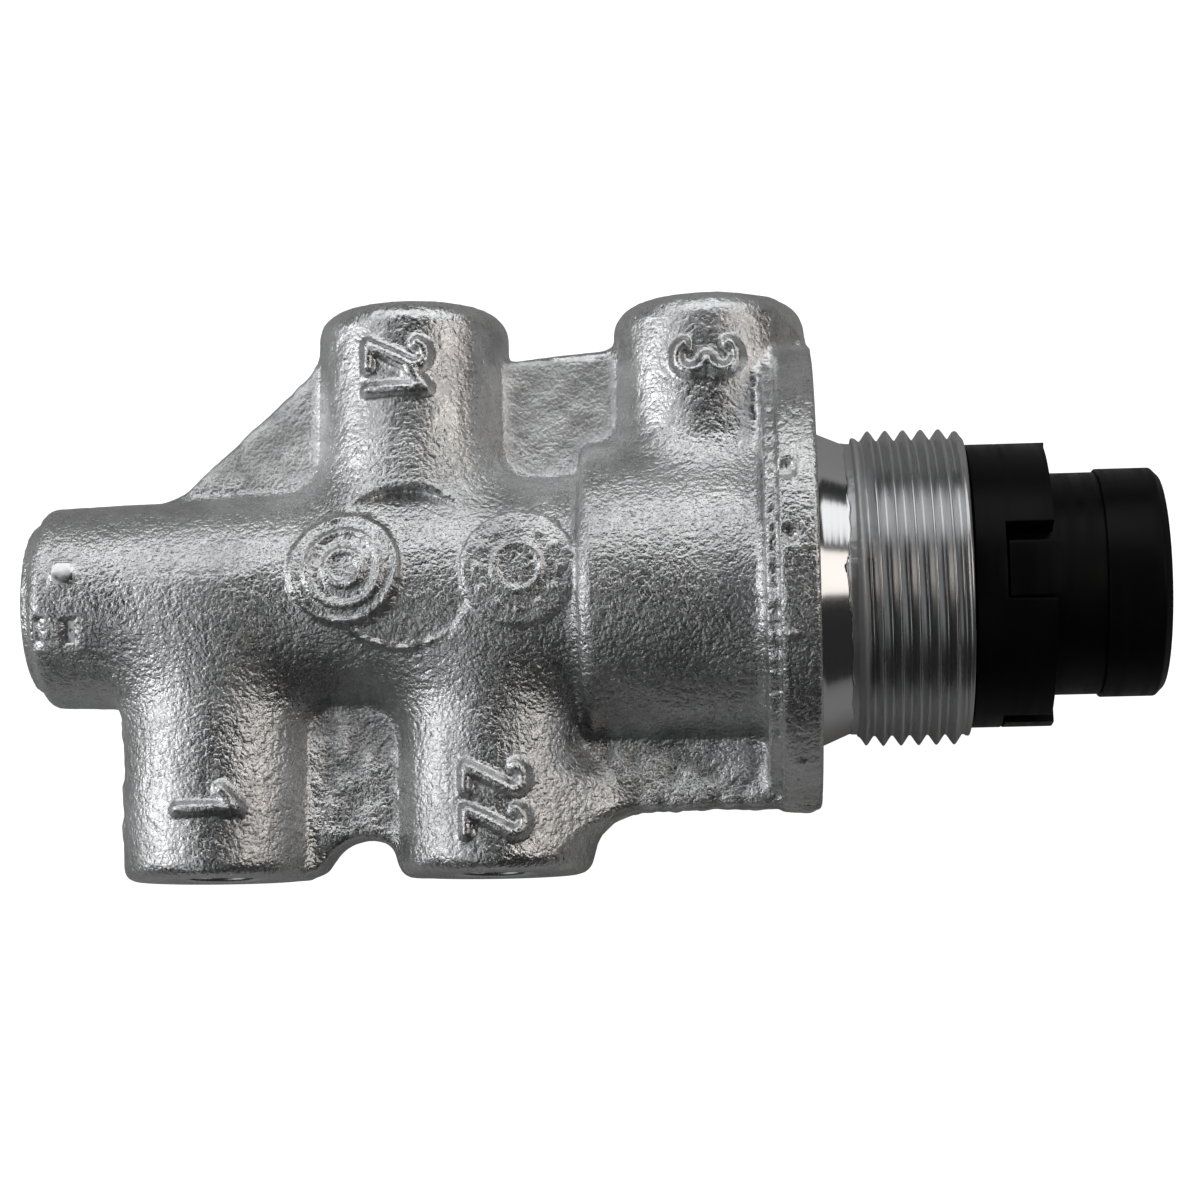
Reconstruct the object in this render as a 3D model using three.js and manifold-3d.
// Solenoid directional valve: a 3/2-way spool valve with twin outlets in a cast body, driven by a
// solenoid in the wide end and plugged in through a round connector.
//
// Millimetres, +Z up. The valve lies on its side: the spool axis runs along X, the connector points
// to +X, ports 21 and 3 open to +Y, and ports 1 and 22 open to -Y. Every piece is drawn about the
// spool axis, with x = 0 on the mounting face of the flange; the outer group then puts the origin at
// the bottom centre of the whole valve.
import * as THREE from 'three';
import { mergeVertices } from 'three/addons/utils/BufferGeometryUtils.js';
import Module from 'manifold-3d';

const wasm = await Module();
wasm.setup();

// ---- driving dimensions -------------------------------------------------------------------------

const ROUND = 36; // facets on a large outer circle
const INNER_ROUND = 24; // facets on a large circle inside the valve
const SMALL_ROUND = 18; // facets on a small circle
const BOSS_ROUND = 28; // facets on a port boss
const FLANGE_ROUND = 48; // facets on the flange
const GAP = 0.3; // clearance between neighbouring pieces
const STROKE = 4; // travel of the spool

// Cast body
const BARREL = { left: -89.7, right: -22, leftRadius: 11.5, rightRadius: 13.8, chamfer: 2.2 };
const HOUSING = { left: -26.4, right: -3, radius: 17.2, shoulder: 3 };
const FLANGE = { thickness: 4.3, radius: 26, centreY: 1.2 }; // a disc, a little above the axis
const STEP_BAND = { thickness: 1.5, inset: 1.6 }; // low step behind the flange plate
const BOSS = { rootRadius: 11.4, faceRadius: 10.9 };
const PORTS = [
  { name: '1', x: -68.4, side: -1, face: 31.7, rim: 1.4 },
  { name: '21', x: -45.8, side: 1, face: 33.2, rim: 2.6 },
  { name: '22', x: -37.0, side: -1, face: 31.7, rim: 1.4 },
  { name: '3', x: -11.6, side: 1, face: 33.2, rim: 2.6 },
];

// Webs in the middle plane; they reach this far from the axis
const WEB = { thickness: 7, root: 8, gusset: 27.5, bridgeLeft: 26.8, bridgeRight: 28.6, arch: 31, foot: 24.7 };
const GUSSET = { reach: 28.2, foot: 11, shoulder: 10.3 }; // from the middle of the boss of port 21
const ARCH = { radius: 4.6, x: -51.5, y: -32 };
const KNEE = { top: -28.6, size: 3.8 }; // fillet between the boss of port 22 and the foot web

const PAD_Y = 1; // the marking pads sit a little above the axis
const PADS = [
  { x: -46.0, radius: 9.0, top: 13.6 },
  { x: -53.2, radius: 6.3, top: 14.1 },
  { x: -33.4, radius: 6.3, top: 14.4 },
];

// Threaded neck, M36 x 2
const THREAD = { major: 18, root: 16.8, pitch: 2, start: 4.6 };
const NECK = { coneTop: 18, coneFoot: 16.5, coneEnd: 3.3, end: 16.8 };

// Holes in the body
const PORT_BORE = { radius: 5.25, mouth: 6.1, mouthDepth: 0.85, depth: 13.5, drilling: 3.5 };
const CAP_BORE = { radius: 7.6, end: -83 };
const SPOOL_BORE = { radius: 6.6, end: -20 };
const SUPPLY_CHAMBER = { left: -72.4, right: -64.4, radius: 9 };
const OUTLET_CHAMBER = { left: -50, right: -33, radius: 9 };
const FLARE = { start: -23, radius: 9.6 };
const SOLENOID_BORE = { radius: 13.5, end: -20 };

// Connector
const COLLAR = { left: 17.1, right: 25.7, inner: 13.1, outer: 16.1, slotStart: 20.4 };
const LUG = { right: 26.1, inner: 12, outer: 16.1, angle: 21.4 };
const SLOT_CLEARANCE = { near: 1.2, far: 8.1 }; // degrees on each side of a lug
const SHELL = { seam: 31.7, radius: 12.6, tip: 38.7, sleeveRadius: 12.95, chamfer: 0.9 };
const SOCKET = { radius: 10.8, floor: 18 };
const PIN = { radius: 1, offset: 3.6, left: 15.6, right: 31.5 };

// Whole valve, measured from the flange face and the spool axis
const OVERRIDE_TIP = -90.5;
const FLANGE_X = -(OVERRIDE_TIP + SHELL.tip) / 2;
const AXIS_Y = (PORTS[0].face - PORTS[1].face) / 2;
const AXIS_Z = FLANGE.radius;

// ---- materials ----------------------------------------------------------------------------------

function finish(color, roughness, metalness) {
  return () => new THREE.MeshStandardMaterial({ color, roughness, metalness });
}

const castMetal = finish(0xa9abad, 0.45, 1);
const machinedMetal = finish(0xd2d4d6, 0.25, 1);
const steel = finish(0x9da2a6, 0.3, 1);
const softIron = finish(0x7c8084, 0.4, 1);
const copper = finish(0xb4703c, 0.35, 1);
const brass = finish(0xc3a052, 0.3, 1);
const blackPlastic = finish(0x131314, 0.45, 0);
const innerPlastic = finish(0x23262a, 0.6, 0);
const rubber = finish(0x1b1b1b, 0.85, 0);

// ---- solids -------------------------------------------------------------------------------------

/** A closed geometry as a solid: positions only, shared corners merged, empty triangles dropped. */
function asSolid(geometry) {
  const bare = new THREE.BufferGeometry();
  bare.setAttribute('position', geometry.getAttribute('position'));
  bare.setIndex(geometry.getIndex());
  const welded = mergeVertices(bare, 1e-4);
  const corners = welded.getIndex().array;
  const faces = [];
  for (let i = 0; i < corners.length; i += 3) {
    const [a, b, c] = corners.slice(i, i + 3);
    if (a !== b && b !== c && c !== a) {
      faces.push(a, b, c);
    }
  }
  const mesh = new wasm.Mesh({
    numProp: 3,
    vertProperties: new Float32Array(welded.getAttribute('position').array),
    triVerts: new Uint32Array(faces),
  });
  return new wasm.Manifold(mesh);
}

/** The geometry of a solid, ready for a mesh. */
function asGeometry(solid) {
  const { numProp, vertProperties, triVerts } = solid.getMesh();
  const geometry = new THREE.BufferGeometry();
  geometry.setAttribute('position', new THREE.BufferAttribute(vertProperties, numProp));
  geometry.setIndex(new THREE.BufferAttribute(triVerts, 1));
  geometry.computeVertexNormals();
  return geometry;
}

/** A turned shape about X. The profile is [x, radius] pairs that start and end on the axis. */
function turned(profile, facets = ROUND) {
  const points = profile.map(([x, radius]) => new THREE.Vector2(radius, x));
  return new THREE.LatheGeometry(points, facets).rotateZ(-Math.PI / 2);
}

/** A plain disc or rod about X. */
function rod(left, right, radius, facets = ROUND) {
  return turned([[left, 0], [left, radius], [right, radius], [right, 0]], facets);
}

/** A turned ring about X, through closed [x, radius] pairs. */
function ring(left, right, inner, outer, facets = ROUND) {
  return turned([[left, inner], [left, outer], [right, outer], [right, inner], [left, inner]], facets);
}

/** An O-ring about X. */
function oRing({ x, radius, section }) {
  return new THREE.TorusGeometry(radius, section, 6, 24).rotateY(Math.PI / 2).translate(x, 0, 0);
}

/** A shape in the XY plane, extruded along Z and centred on it. */
function slab(shape, thickness) {
  const options = { depth: thickness, bevelEnabled: false, curveSegments: 12 };
  return new THREE.ExtrudeGeometry(shape, options).translate(0, 0, -thickness / 2);
}

/** A shape in the YZ plane, extruded along X from left to right. */
function plate(shape, left, right, curveSegments = 8) {
  const options = { depth: right - left, bevelEnabled: false, curveSegments };
  const toX = new THREE.Matrix4().set(0, 0, 1, left, 1, 0, 0, 0, 0, 1, 0, 0, 0, 0, 0, 1);
  return new THREE.ExtrudeGeometry(shape, options).applyMatrix4(toX);
}

/** A sector of a ring about X, in the YZ plane; angles in degrees from +Y towards +Z. */
function sector(left, right, inner, outer, from, to, steps = 3) {
  const a = THREE.MathUtils.degToRad(from);
  const b = THREE.MathUtils.degToRad(to);
  const shape = new THREE.Shape();
  shape.absarc(0, 0, outer, a, b, false);
  shape.absarc(0, 0, inner, b, a, true);
  return plate(shape, left, right, steps);
}

/** A round wire along a curve. */
function wire(curve, radius, steps, sides) {
  const section = new THREE.Shape();
  for (let i = 0; i < sides; i += 1) {
    const angle = (2 * Math.PI * i) / sides;
    const point = [radius * Math.cos(angle), radius * Math.sin(angle)];
    if (i === 0) {
      section.moveTo(...point);
    } else {
      section.lineTo(...point);
    }
  }
  return new THREE.ExtrudeGeometry(section, { steps, extrudePath: curve, bevelEnabled: false });
}

function joined(...geometries) {
  return geometries.map(asSolid).reduce((whole, piece) => whole.add(piece));
}

function cut(solid, ...geometries) {
  return geometries.map(asSolid).reduce((whole, hole) => whole.subtract(hole), solid);
}

/** Points on a quarter round from one [x, radius] pair to another, bulging outwards. */
function quarterRound(x, radius, size, steps = 5) {
  return Array.from({ length: steps + 1 }, (_, i) => {
    const angle = (Math.PI / 2) * (i / steps);
    return [x + size * (1 - Math.cos(angle)), radius - size + size * Math.sin(angle)];
  });
}

// ---- cast body ----------------------------------------------------------------------------------

function barrel() {
  const { left, right, leftRadius, rightRadius, chamfer } = BARREL;
  return turned([
    [left, 0],
    [left, leftRadius - chamfer],
    [left + chamfer, leftRadius],
    [right, rightRadius],
    [right, 0],
  ]);
}

function housing() {
  const { left, right, radius, shoulder } = HOUSING;
  return turned([[left, 0], ...quarterRound(left, radius, shoulder), [right, radius], [right, 0]]);
}

/** The round flange plate with the low step behind it. */
function flange() {
  const { thickness, radius, centreY } = FLANGE;
  const stepRadius = radius - STEP_BAND.inset;
  return turned([
    [-thickness - STEP_BAND.thickness, 0],
    [-thickness - STEP_BAND.thickness, stepRadius],
    [-thickness, stepRadius],
    [-thickness, radius],
    [0, radius],
    [0, 0],
  ], FLANGE_ROUND).translate(0, centreY, 0);
}

/** The turned cone, the plain band and the thread ridges of the neck. */
function neck() {
  const { major, root, pitch, start } = THREAD;
  const profile = [[-1, 0], [-1, NECK.coneTop], [0, NECK.coneTop], [NECK.coneEnd, NECK.coneFoot]];
  for (let x = start; x + pitch <= NECK.end + GAP; x += pitch) {
    profile.push([x, root], [x + pitch / 2, major]);
  }
  profile.push([NECK.end, root], [NECK.end, 0]);
  return turned(profile, ROUND);
}

function boss({ x, side, face, rim }) {
  const { rootRadius, faceRadius } = BOSS;
  const edge = quarterRound(0, faceRadius, rim, 2).map(([along, radius]) => [face - along, radius]);
  const outline = [[0, 0], [0, rootRadius], ...edge.reverse(), [face, 0]];
  return turned(outline, BOSS_ROUND).rotateZ((side * Math.PI) / 2).translate(x, 0, 0);
}

function pad({ x, radius, top }) {
  const outline = [[0, 0], [0, radius], [top - 0.3, radius], [top, radius - 0.3], [top, 0]];
  return turned(outline, SMALL_ROUND).rotateY(-Math.PI / 2).translate(x, PAD_Y, 0);
}

/** The flat webs in the middle plane that tie the bosses, the barrel and the flange together. */
function webs() {
  const [supply, outletTop, outletBottom, exhaust] = PORTS.map((port) => port.x);
  const gusset = new THREE.Shape([
    new THREE.Vector2(outletTop - GUSSET.reach, WEB.root),
    new THREE.Vector2(outletTop - GUSSET.reach, GUSSET.foot),
    new THREE.Vector2(outletTop - GUSSET.shoulder, WEB.gusset),
    new THREE.Vector2(outletTop, WEB.gusset),
    new THREE.Vector2(outletTop, WEB.root),
  ]);
  const bridge = new THREE.Shape([
    new THREE.Vector2(outletTop, WEB.root),
    new THREE.Vector2(outletTop, WEB.bridgeLeft),
    new THREE.Vector2(exhaust, WEB.bridgeRight),
    new THREE.Vector2(exhaust, WEB.root),
  ]);

  const dip = Math.asin((ARCH.y + WEB.arch) / ARCH.radius);
  const arch = new THREE.Shape();
  arch.moveTo(supply, -WEB.root);
  arch.lineTo(supply, -WEB.arch);
  arch.absarc(ARCH.x, ARCH.y, ARCH.radius, Math.PI + dip, -dip, true);
  arch.lineTo(outletBottom, -WEB.arch);
  arch.lineTo(outletBottom, -WEB.root);

  const kneeX = outletBottom + BOSS.faceRadius;
  const foot = new THREE.Shape();
  foot.moveTo(outletBottom, -WEB.root);
  foot.lineTo(outletBottom, KNEE.top);
  foot.lineTo(kneeX, KNEE.top);
  foot.quadraticCurveTo(kneeX, -WEB.foot, kneeX + KNEE.size, -WEB.foot);
  foot.lineTo(-1, -WEB.foot);
  foot.lineTo(-1, -WEB.root);
  return [gusset, bridge, arch, foot].map((shape) => slab(shape, WEB.thickness));
}

/** The stepped hole along the axis: cap seat, spool bore with its two chambers, solenoid bore. */
function mainBore() {
  const groove = { left: -89.3, right: -88.1, radius: 8.6 };
  const connectorGroove = { left: 14.9, right: 16.3, radius: 14.6 };
  return turned([
    [BARREL.left - 1, 0],
    [BARREL.left - 1, CAP_BORE.radius],
    [groove.left, CAP_BORE.radius],
    [groove.left, groove.radius],
    [groove.right, groove.radius],
    [groove.right, CAP_BORE.radius],
    [CAP_BORE.end, CAP_BORE.radius],
    [CAP_BORE.end, SPOOL_BORE.radius],
    [SUPPLY_CHAMBER.left, SPOOL_BORE.radius],
    [SUPPLY_CHAMBER.left, SUPPLY_CHAMBER.radius],
    [SUPPLY_CHAMBER.right, SUPPLY_CHAMBER.radius],
    [SUPPLY_CHAMBER.right, SPOOL_BORE.radius],
    [OUTLET_CHAMBER.left, SPOOL_BORE.radius],
    [OUTLET_CHAMBER.left, OUTLET_CHAMBER.radius],
    [OUTLET_CHAMBER.right, OUTLET_CHAMBER.radius],
    [OUTLET_CHAMBER.right, SPOOL_BORE.radius],
    [FLARE.start, SPOOL_BORE.radius],
    [SPOOL_BORE.end, FLARE.radius],
    [SOLENOID_BORE.end, SOLENOID_BORE.radius],
    [connectorGroove.left, SOLENOID_BORE.radius],
    [connectorGroove.left, connectorGroove.radius],
    [connectorGroove.right, connectorGroove.radius],
    [connectorGroove.right, SOLENOID_BORE.radius],
    [NECK.end + 1, SOLENOID_BORE.radius],
    [NECK.end + 1, 0],
  ], INNER_ROUND);
}

/** A tapped port: countersunk mouth, thread bore and the drilling down to the spool. */
function portHole({ x, side, face }) {
  const { radius, mouth, mouthDepth, depth, drilling } = PORT_BORE;
  const outline = [
    [5, 0],
    [5, drilling],
    [face - depth, drilling],
    [face - depth + 1, radius],
    [face - mouthDepth, radius],
    [face, mouth],
    [face + 1, mouth],
    [face + 1, 0],
  ];
  return turned(outline, SMALL_ROUND).rotateZ((side * Math.PI) / 2).translate(x, 0, 0);
}

function valveBody() {
  const shell = joined(
    barrel(),
    housing(),
    flange(),
    neck(),
    ...PORTS.map(boss),
    ...PADS.map(pad),
    ...webs(),
  );
  return cut(shell, mainBore(), ...PORTS.map(portHole));
}

// ---- left end -----------------------------------------------------------------------------------

const CAP = { left: -87.8, right: -83.3, radius: CAP_BORE.radius - GAP, hole: 2.4 };
const CAP_RING = { left: -89, right: -88.1, inner: 6.2, outer: 8.3 };
const CAP_SEAL = { x: -85.55, radius: 6.7, section: 0.5 };
const PIN_SEAL = { x: -85.55, radius: 2.85, section: 0.45 };
const OVERRIDE = { radius: 2.05, inner: -81.3 };

function endCap() {
  const { left, right, radius, hole } = CAP;
  const sealGroove = { left: -86.5, right: -84.6, radius: 5.9 };
  const pinGroove = { left: -86.3, right: -84.8, radius: 3.4 };
  return asSolid(turned([
    [left, hole],
    [left, radius],
    [sealGroove.left, radius],
    [sealGroove.left, sealGroove.radius],
    [sealGroove.right, sealGroove.radius],
    [sealGroove.right, radius],
    [right, radius],
    [right, hole],
    [pinGroove.right, hole],
    [pinGroove.right, pinGroove.radius],
    [pinGroove.left, pinGroove.radius],
    [pinGroove.left, hole],
    [left, hole],
  ], INNER_ROUND));
}

/** An open snap ring with a gap at the bottom. */
function snapRing({ left, right, inner, outer }) {
  return asSolid(sector(left, right, inner, outer, -80, 260, 20));
}

function overridePin() {
  const { radius, inner } = OVERRIDE;
  return asSolid(turned([
    [OVERRIDE_TIP, 0],
    [OVERRIDE_TIP, radius - 0.4],
    [OVERRIDE_TIP + 0.4, radius],
    [inner, radius],
    [inner, 0],
  ], SMALL_ROUND));
}

// ---- spool --------------------------------------------------------------------------------------

const SPOOL = { left: -81, right: -9.5, radius: SPOOL_BORE.radius - GAP, stem: 3, tail: 2.5 };
const LANDS = [
  { left: -80.2, right: -72.9, seals: [-78.5, -75.2] },
  { left: -53.2, right: -47.2, seals: [-51.5] },
  { left: -40.2, right: -34.6, seals: [-35.9] },
];
const SPOOL_SEAL = { radius: 5.6, section: 0.72, grooveRadius: 4.6, grooveHalf: 1 };

/** A turned rod with three lands, each with grooves for its seals. */
function spool() {
  const { left, right, radius, stem, tail } = SPOOL;
  const { grooveRadius, grooveHalf } = SPOOL_SEAL;
  const profile = [[left, 0], [left, stem]];
  LANDS.forEach((land, i) => {
    profile.push([land.left, stem], [land.left, radius]);
    for (const x of land.seals) {
      profile.push([x - grooveHalf, radius], [x - grooveHalf, grooveRadius]);
      profile.push([x + grooveHalf, grooveRadius], [x + grooveHalf, radius]);
    }
    profile.push([land.right, radius], [land.right, i === LANDS.length - 1 ? tail : stem]);
  });
  profile.push([right, tail], [right, 0]);
  return asSolid(turned(profile, SMALL_ROUND));
}

const SPRING = { left: -34.3, right: -20.3, radius: 4.6, wire: 0.45, turns: 5 };

class Helix extends THREE.Curve {
  getPoint(t, target = new THREE.Vector3()) {
    const { left, right, radius, wire: thickness, turns } = SPRING;
    const angle = 2 * Math.PI * turns * t;
    const x = THREE.MathUtils.lerp(left + thickness, right - thickness, t);
    return target.set(x, radius * Math.cos(angle), radius * Math.sin(angle));
  }
}

function returnSpring() {
  return asSolid(wire(new Helix(), SPRING.wire, SPRING.turns * 12, 6));
}

const GUIDE = { left: -19.7, right: -17.2, hole: 2.8, vents: 6, ventRadius: 1.5, ventCircle: 7.6 };

/** A perforated disc that centres the tail of the spool and carries the spring. */
function spoolGuide() {
  const outer = SOLENOID_BORE.radius - GAP;
  const disc = asSolid(ring(GUIDE.left, GUIDE.right, GUIDE.hole, outer, INNER_ROUND));
  const vents = Array.from({ length: GUIDE.vents }, (_, i) => {
    const angle = (2 * Math.PI * (i + 0.5)) / GUIDE.vents;
    const centre = [GUIDE.ventCircle * Math.cos(angle), GUIDE.ventCircle * Math.sin(angle)];
    return rod(GUIDE.left - 1, GUIDE.right + 1, GUIDE.ventRadius, 12).translate(0, ...centre);
  });
  return cut(disc, ...vents);
}

// ---- solenoid -----------------------------------------------------------------------------------

const ARMATURE = { left: -9.2, right: 3, radius: 4.6 };
const TUBE = { left: -7.1, right: 10.5, inner: 4.9, outer: 5.5, flange: 8.5, flangeLeft: -8.2 };
const SOLENOID_SEAL = { x: -5.3, radius: 12.5, section: 0.55 };
const YOKE_PLATE = { left: -6.8, right: -3.8, outer: SOLENOID_BORE.radius - GAP, hole: 5.8 };
const YOKE_SHELL = { left: -3.5, right: 12.5, outer: SOLENOID_BORE.radius - GAP, inner: 12, wall: 11 };
const BOBBIN = { left: -3.2, right: 10.7, inner: 5.8, core: 6.6, flange: 11.7, thickness: 1 };
const LEAD = { radius: 0.5, hole: 1, circle: 8.4 };

function armature() {
  const { left, right, radius } = ARMATURE;
  return asSolid(turned([
    [left, 0],
    [left, radius - 0.5],
    [left + 0.5, radius],
    [right - 0.5, radius],
    [right, radius - 0.5],
    [right, 0],
  ], SMALL_ROUND));
}

function guideTube() {
  const { left, right, inner, outer, flange: lip, flangeLeft } = TUBE;
  return asSolid(turned([
    [flangeLeft, inner],
    [flangeLeft, lip],
    [left, lip],
    [left, outer],
    [right, outer],
    [right, inner],
    [flangeLeft, inner],
  ], SMALL_ROUND));
}

function poleCore() {
  const face = ARMATURE.right + STROKE + GAP;
  return asSolid(turned([
    [face, 0],
    [face, ARMATURE.radius],
    [TUBE.right + GAP, ARMATURE.radius],
    [TUBE.right + GAP, TUBE.outer],
    [YOKE_SHELL.right, TUBE.outer],
    [YOKE_SHELL.right, 0],
  ], SMALL_ROUND));
}

function yokePlate() {
  const { left, right, outer, hole } = YOKE_PLATE;
  const groove = { left: -6.2, right: -4.4, radius: 11.6 };
  return asSolid(turned([
    [left, hole],
    [left, outer],
    [groove.left, outer],
    [groove.left, groove.radius],
    [groove.right, groove.radius],
    [groove.right, outer],
    [right, outer],
    [right, hole],
    [left, hole],
  ], INNER_ROUND));
}

/** An iron cup round the coil, with holes in its end wall for the two leads. */
function yokeShell() {
  const { left, right, outer, inner, wall } = YOKE_SHELL;
  const cup = asSolid(turned([
    [left, inner],
    [left, outer],
    [right, outer],
    [right, YOKE_PLATE.hole],
    [wall, YOKE_PLATE.hole],
    [wall, inner],
    [left, inner],
  ], INNER_ROUND));
  const leadHoles = [-1, 1].map((side) =>
    rod(wall - 1, right + 1, LEAD.hole, 12).translate(0, side * LEAD.circle, 0));
  return cut(cup, ...leadHoles);
}

function coilBobbin() {
  const { left, right, inner, core, flange: rim, thickness } = BOBBIN;
  return asSolid(turned([
    [left, inner],
    [left, rim],
    [left + thickness, rim],
    [left + thickness, core],
    [right - thickness, core],
    [right - thickness, rim],
    [right, rim],
    [right, inner],
    [left, inner],
  ], INNER_ROUND));
}

function coilWinding() {
  const { left, right, core, flange: rim, thickness } = BOBBIN;
  const [from, to] = [left + thickness + GAP, right - thickness - GAP];
  return asSolid(ring(from, to, core + GAP, rim - GAP, INNER_ROUND));
}

/** A lead from the end of the coil, through the yoke, to the back of its contact. */
function coilLead(side) {
  const route = new THREE.CatmullRomCurve3([
    new THREE.Vector3(BOBBIN.right + GAP, side * LEAD.circle, 0),
    new THREE.Vector3(YOKE_SHELL.right, side * LEAD.circle, 0),
    new THREE.Vector3(YOKE_SHELL.right + 1.2, side * (LEAD.circle - 1), 0),
    new THREE.Vector3(PIN.left - 1.2, side * (PIN.offset + 0.5), 0),
    new THREE.Vector3(PIN.left - GAP, side * PIN.offset, 0),
  ]);
  return asSolid(wire(route, LEAD.radius, 14, 8));
}

// ---- connector ----------------------------------------------------------------------------------

const CONNECTOR_SEAL = { x: 13.85, radius: 12.55, section: 0.5 };
const CONNECTOR_RING = { left: 15.2, right: 16, inner: 12.3, outer: 14.3 };
const BASE = { left: 12.9, shoulder: 14.8, collar: 14.9, neckRadius: 12, hub: 12.8, hubLeft: 17.4 };

/** Angles of the lug centres in the YZ plane; the first faces nearly +Z. */
const LUG_ANGLES = [91.5, 181.5, 271.5, 361.5];

/** The moulded shell: a shoulder in the neck, a hub with four lugs under the collar, and the tube. */
function connectorBase() {
  const seal = { left: 13.2, right: 14.5, radius: 11.7 };
  const outer = SOLENOID_BORE.radius - GAP;
  const body = asSolid(turned([
    [BASE.left, 9.8],
    [BASE.left, outer],
    [seal.left, outer],
    [seal.left, seal.radius],
    [seal.right, seal.radius],
    [seal.right, outer],
    [BASE.shoulder, outer],
    [BASE.shoulder, BASE.neckRadius],
    [BASE.hubLeft, BASE.neckRadius],
    [BASE.hubLeft, BASE.hub],
    [LUG.right, BASE.hub],
    [LUG.right, SHELL.radius],
    [SHELL.seam - GAP, SHELL.radius],
    [SHELL.seam - GAP, SOCKET.radius],
    [SOCKET.floor, SOCKET.radius],
    [SOCKET.floor, 9.8],
    [BASE.left, 9.8],
  ], ROUND));
  const left = COLLAR.slotStart + GAP;
  const lugs = LUG_ANGLES.map((centre) => {
    const half = LUG.angle / 2;
    return sector(left, LUG.right, LUG.inner, LUG.outer, centre - half, centre + half);
  });
  return lugs.map(asSolid).reduce((whole, lug) => whole.add(lug), body);
}

function connectorSleeve() {
  const { seam, tip, sleeveRadius, chamfer } = SHELL;
  return asSolid(turned([
    [seam, SOCKET.radius],
    [seam, sleeveRadius - 0.2],
    [seam + 0.2, sleeveRadius],
    [tip - chamfer, sleeveRadius],
    [tip, sleeveRadius - chamfer],
    [tip, SOCKET.radius],
    [seam, SOCKET.radius],
  ]));
}

/** The turning ring: its slots leave the lugs free to one side. */
function lockingCollar() {
  const { left, right, inner, outer, slotStart } = COLLAR;
  const body = asSolid(turned([
    [left, inner],
    [left, outer - 0.3],
    [left + 0.3, outer],
    [right - 0.3, outer],
    [right, outer - 0.3],
    [right, inner],
    [left, inner],
  ], ROUND));
  const slots = LUG_ANGLES.map((centre) => {
    const from = centre - LUG.angle / 2 - SLOT_CLEARANCE.far;
    const to = centre + LUG.angle / 2 + SLOT_CLEARANCE.near;
    return sector(slotStart, right + 1, inner - 1, outer + 1, from, to);
  });
  return cut(body, ...slots);
}

function pinCarrier() {
  const disc = asSolid(rod(SOCKET.floor + GAP, 21.8, SOCKET.radius - GAP, INNER_ROUND));
  const holes = [-1, 1].map((side) =>
    rod(SOCKET.floor - 1, 23, PIN.radius + GAP, 12).translate(0, side * PIN.offset, 0));
  return cut(disc, ...holes);
}

function contactPin(side) {
  const { radius, left, right, offset } = PIN;
  const outline = [[left, 0], [left, radius], [right - 1, radius], [right, radius - 0.5], [right, 0]];
  return asSolid(turned(outline, 12).translate(0, side * offset, 0));
}

// ---- assembly -----------------------------------------------------------------------------------

const assembly = new THREE.Group();

const aboutAxis = new THREE.Group();
aboutAxis.position.set(FLANGE_X, AXIS_Y, AXIS_Z);
assembly.add(aboutAxis);

function place(name, solid, material) {
  const mesh = new THREE.Mesh(asGeometry(solid), material());
  mesh.name = name;
  aboutAxis.add(mesh);
}

place('valve_body', valveBody(), castMetal);

place('end_cap', endCap(), machinedMetal);
place('end_cap_seal', asSolid(oRing(CAP_SEAL)), rubber);
place('end_cap_circlip', snapRing(CAP_RING), steel);
place('override_pin', overridePin(), steel);
place('override_pin_seal', asSolid(oRing(PIN_SEAL)), rubber);

place('spool', spool(), machinedMetal);
LANDS.flatMap((land) => land.seals).forEach((x, i) => {
  place(`spool_seal_${i + 1}`, asSolid(oRing({ x, ...SPOOL_SEAL })), rubber);
});
place('return_spring', returnSpring(), steel);
place('spool_guide', spoolGuide(), brass);

place('armature', armature(), softIron);
place('guide_tube', guideTube(), brass);
place('pole_core', poleCore(), softIron);
place('yoke_plate', yokePlate(), softIron);
place('yoke_shell', yokeShell(), softIron);
place('solenoid_seal', asSolid(oRing(SOLENOID_SEAL)), rubber);
place('coil_bobbin', coilBobbin(), innerPlastic);
place('coil_winding', coilWinding(), copper);
place('coil_lead_1', coilLead(-1), copper);
place('coil_lead_2', coilLead(1), copper);

place('connector_base', connectorBase(), blackPlastic);
place('connector_sleeve', connectorSleeve(), blackPlastic);
place('locking_collar', lockingCollar(), blackPlastic);
place('connector_seal', asSolid(oRing(CONNECTOR_SEAL)), rubber);
place('connector_circlip', snapRing(CONNECTOR_RING), steel);
place('pin_carrier', pinCarrier(), innerPlastic);
place('contact_pin_1', contactPin(-1), brass);
place('contact_pin_2', contactPin(1), brass);

export default assembly;
